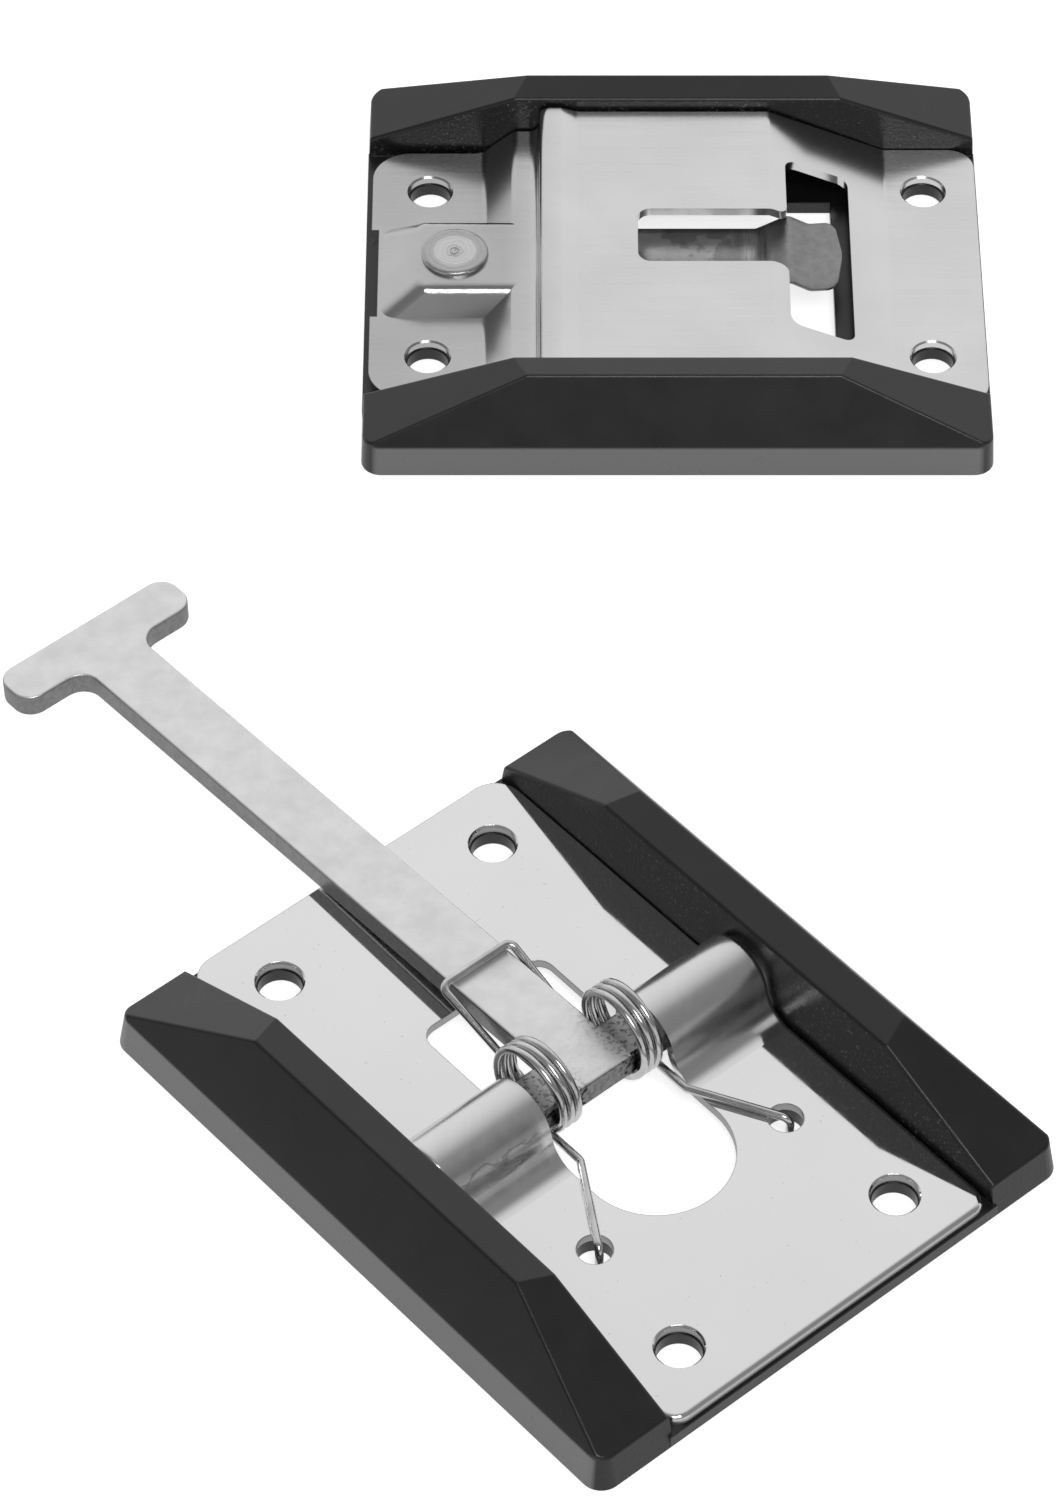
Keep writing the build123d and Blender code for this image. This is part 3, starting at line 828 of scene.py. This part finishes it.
# %% [markdown]
# ** The ribbon** is a grid of faces, one row for each point of the side view. A Solidify
# modifier gives it its thickness and a Bevel modifier takes the sharpness off its rim. Both
# are then applied, so that the leaf is plain mesh. The thickness could be drawn by
# hand as a second grid and a rim, but the modifiers do that with two numbers.

# %% The leaf


def apply_modifiers(piece):
    """Turns the piece's modifiers into mesh, smoothly shaded."""
    depsgraph = bpy.context.evaluated_depsgraph_get()
    piece.data = bpy.data.meshes.new_from_object(piece.evaluated_get(depsgraph))
    piece.modifiers.clear()
    for face in piece.data.polygons:
        face.use_smooth = True


def ribbon(name, rows, across=12):
    """A ribbon through the rows. Its faces look down, and its thickness goes that way."""
    vertices, faces = [], []
    for row in rows:
        half = max(half_width(row.x), narrowest)
        for i in range(across + 1):
            vertices.append(on_keeper(row.x, half * (2 * i / across - 1), row.z))
    for r in range(len(rows) - 1):
        for i in range(across):
            a = r * (across + 1) + i
            faces.append((a, a + 1, a + across + 2, a + across + 1))
    mesh = bpy.data.meshes.new(name)
    mesh.from_pydata(vertices, [], faces)
    piece = bpy.data.objects.new(name, mesh)
    bpy.context.collection.objects.link(piece)
    thick = piece.modifiers.new("thickness", "SOLIDIFY")
    thick.thickness = leaf_thick * mm
    thick.offset = 1
    rim = piece.modifiers.new("rim", "BEVEL")
    rim.width = leaf_rim * mm
    rim.segments = 2
    rim.limit_method = "ANGLE"
    apply_modifiers(piece)
    print(name, "has", len(rows), "rows")
    return piece


side_line = rounded([(along, 0, up) for along, up in leaf_side_view], leaf_bend, steps=6)
leaf = ribbon("leaf_strip", in_steps(side_line, step=0.8))

# %% [markdown]
# **Tempered strip** is a dull mottled grey. Where the leaf was creased its skin has fine lines
# that run across the strip, and the flat under the slot is rubbed lighter in patches. One even
# grey could stand for it, but it would look like card. So two noises make the mottling and the
# rubbed patches, and a third, dragged out across the strip, is kept to the crease.

# %% Tempered strip
flat_ends = (8 * mm, 10 * mm)  # along
crease_begins = (10 * mm, 11 * mm)
crease_ends = (14.5 * mm, 16 * mm)


def tempered_strip():
    """Mottled grey, rubbed on the flat and lined at the crease."""
    material, shader = new_material("tempered_strip", base=0.3, metallic=1.0, roughness=0.42)
    soft_edges(material, shader, radius=0.12 * mm)
    along = part_of(material, local_place(material, origin=tuple(keeper_centre)), "X")
    mottle = noise(material, 420.0, detail=5.0, roughness=0.7)
    patches = noise(material, 150.0, roughness=0.6)
    lines = noise(material, 1500.0, roughness=0.6, stretch=(1.0, 0.06, 1.0))

    on_flat = between(material, along, 1.0, 0.0, over=flat_ends)
    rubbed = between(material, patches, 0.0, 0.16, over=(0.52, 0.56))
    rubbed = combined(material, "MULTIPLY", rubbed, on_flat)
    creased = between(material, along, 0.0, 1.0, over=crease_begins)
    past = between(material, along, 1.0, 0.0, over=crease_ends)
    creased = combined(material, "MULTIPLY", creased, past)
    drawn = combined(material, "MULTIPLY", creased, between(material, lines, 0.22, -0.10))
    tint = combined(material, "ADD", between(material, mottle, 0.24, 0.34), rubbed, drawn)
    shade(material, shader, tint)
    bump(material, shader, mottle, distance=0.02 * mm, strength=0.6)
    creases = combined(material, "MULTIPLY", lines, creased)
    bump(material, shader, creases, distance=0.04 * mm, strength=0.8)
    return material


leaf.data.materials.append(tempered_strip())
print("the leaf is finished with", leaf.data.materials[0].name)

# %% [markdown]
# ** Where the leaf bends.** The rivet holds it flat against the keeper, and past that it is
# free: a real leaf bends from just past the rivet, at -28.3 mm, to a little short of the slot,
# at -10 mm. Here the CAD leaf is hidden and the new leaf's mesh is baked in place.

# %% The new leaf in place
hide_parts("retaining_leaf")
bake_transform(leaf)
print("the leaf has", len(leaf.data.vertices), "points to bend")

# %% [markdown]
# **Kinds of ray.** The floor and the sky have to look white behind the object and still light
# it gently. They could be made bright enough to look white, but that would bleach the steel. A
# Light Path node says whether a ray comes from the camera, from a mirror-like surface or from
# light that spreads about, and each kind can be shown something else.

# %% Choosing by ray


def any_ray(material, *kinds):
    """1 for the kinds of ray named, else 0."""
    path = add_node(material, "ShaderNodeLightPath")
    value = path.outputs[kinds[0]]
    for kind in kinds[1:]:
        value = combined(material, "MAXIMUM", value, path.outputs[kind])
    return value


def either(material, share, usual, other):
    """The usual shader, or the other where `share` is 1."""
    node = add_node(material, "ShaderNodeMixShader")
    for source, socket in zip((share, usual, other), node.inputs):
        wire(material, source, socket)
    return node.outputs["Shader"]


print("kinds of ray told apart: camera, glossy or transmission, and the rest")

# %% [markdown]
# **The floor** is a pale board. A plain grey one would do to light the rubber, but polished
# steel shows the floor itself. So it is three shaders, chosen by the kind of ray: the camera
# sees white with the object's shadow on it, polished steel sees a light floor that fades with
# distance, and everything else is lit by a plain grey.

# %% Floor
floor_size = 6.0
floor_drop = 0.2 * mm
floor_glow = 0.7
mirrored_near = 0.85
mirrored_far = 0.30
mirror_fades = (0.2, 0.7)


def pale_floor():
    """Grey for light, white for the camera, and light grey in reflections."""
    material, shader = new_material("pale_floor", base=0.62, metallic=0.0, roughness=0.9)
    board = add_node(material, "ShaderNodeBsdfDiffuse", Color=(0.86, 0.86, 0.86, 1))
    glow = add_node(material, "ShaderNodeEmission", Strength=floor_glow)
    white = add_node(material, "ShaderNodeAddShader")
    wire(material, board.outputs[0], white.inputs[0])
    wire(material, glow.outputs[0], white.inputs[1])
    mirrored = add_node(material, "ShaderNodeEmission")
    far = length_of(material, local_place(material))
    fading = between(material, far, mirrored_near, mirrored_far, over=mirror_fades)
    wire(material, fading, mirrored.inputs["Strength"])
    seen = any_ray(material, "Is Camera Ray")
    reflected = any_ray(material, "Is Glossy Ray", "Is Transmission Ray")
    surface = either(material, seen, shader.outputs[0], white.outputs[0])
    surface = either(material, reflected, surface, mirrored.outputs[0])
    output = material.node_tree.nodes["Material Output"]
    wire(material, surface, output.inputs["Surface"])
    return material


bpy.ops.mesh.primitive_plane_add(size=floor_size, location=(0, 0, -floor_drop))
floor = bpy.context.object
floor.name = "floor"
floor.data.materials.append(pale_floor())
print("floor is", floor_size, "m wide")

# %% [markdown]
# **The sky** lights the object softly from all round. One even white could do for rubber, but
# polished steel looks like steel only when it has something dark to show beside something
# bright. So the sky is brightest behind the object, dim in front of it, and has a low band of
# light in front for what the steel shows when it is seen from behind. The camera always sees
# plain white.

# %% Sky
sky_tones = [(0.05, 0.25), (0.13, 0.30), (0.27, 0.50), (0.41, 0.69), (0.67, 0.87), (0.95, 1.0)]
front_light = 0.75
front_band_top = (0.32, 0.45)
front_band_starts = (-0.55, -0.2)


def tones(material, value, stops):
    """Maps a pattern onto greys, given as (place, grey) pairs."""
    node = add_node(material, "ShaderNodeValToRGB")
    ramp = node.color_ramp
    while len(ramp.elements) < len(stops):
        ramp.elements.new(0.5)
    for element, (place, tone) in zip(ramp.elements, stops):
        element.position = place
        element.color = (tone, tone, tone, 1.0)
    wire(material, value, node.inputs["Fac"])
    return node.outputs["Color"]


world = bpy.data.worlds.new("studio")
bpy.context.scene.world = world
world.use_nodes = True
direction = add_node(world, "ShaderNodeTexCoord").outputs["Generated"]
behind = part_of(world, direction, "Y")
low_down = between(world, part_of(world, direction, "Z"), 1.0, 0.0, over=front_band_top)
in_front = between(world, behind, front_light, 0.0, over=front_band_starts)
band = combined(world, "MULTIPLY", low_down, in_front)
light = combined(world, "MAXIMUM", tones(world, behind, sky_tones), band)
sky = world.node_tree.nodes["Background"]
sky.inputs["Color"].default_value = (1, 1, 1, 1)
light = combined(world, "MAXIMUM", light, any_ray(world, "Is Camera Ray"))
wire(world, light, sky.inputs["Strength"])
print("sky, from front to behind:", [tone for place, tone in sky_tones])

# %% [markdown]
# **The lamp** puts one broad highlight on each top face and a soft shadow under the object. A
# sun could do that, but its highlights are hard. A square area lamp high up on the camera's
# side is like the box lamp that a maker would hang there.

# %% Lamp
lamp_place = Vector((0.15, -0.55, 1.0))
lamp_aim = Vector((-0.007, 0.065, 0.0))
lamp_size = 0.5
lamp_power = 4.5


def set_up(name, data, place, aim):
    """Stands a lamp or a camera at `place`, pointing at `aim`."""
    holder = bpy.data.objects.new(name, data)
    bpy.context.collection.objects.link(holder)
    holder.location = place
    holder.rotation_euler = (aim - place).to_track_quat("-Z", "Y").to_euler()
    print(name, "at", [round(x, 3) for x in place])
    return holder


box_lamp = bpy.data.lights.new("key_light", "AREA")
box_lamp.size = lamp_size
box_lamp.energy = lamp_power
set_up("key_light", box_lamp, lamp_place, lamp_aim)

# %% [markdown]
# **The camera** stands in front of the keeper's long side and looks down at the surface from a
# little under 48 degrees. It could be near, but a near camera makes the nearest corner swell.
# So it stands almost a metre off with a long lens, which keeps edges nearly parallel. The view
# transform is Standard, so that a grey renders about as it is written.

# %% Camera
camera_target = Vector((-6.95, 64.72, 0.0)) * mm
camera_distance = 887.2 * mm
camera_height = math.radians(47.71)
camera_lens = 149.1

back = Vector((0.0, -math.cos(camera_height), math.sin(camera_height)))
camera_place = camera_target + back * camera_distance
camera = set_up("camera", bpy.data.cameras.new("camera"), camera_place, camera_target)
camera.data.lens = camera_lens
bpy.context.scene.camera = camera
bpy.context.scene.view_settings.view_transform = "Standard"
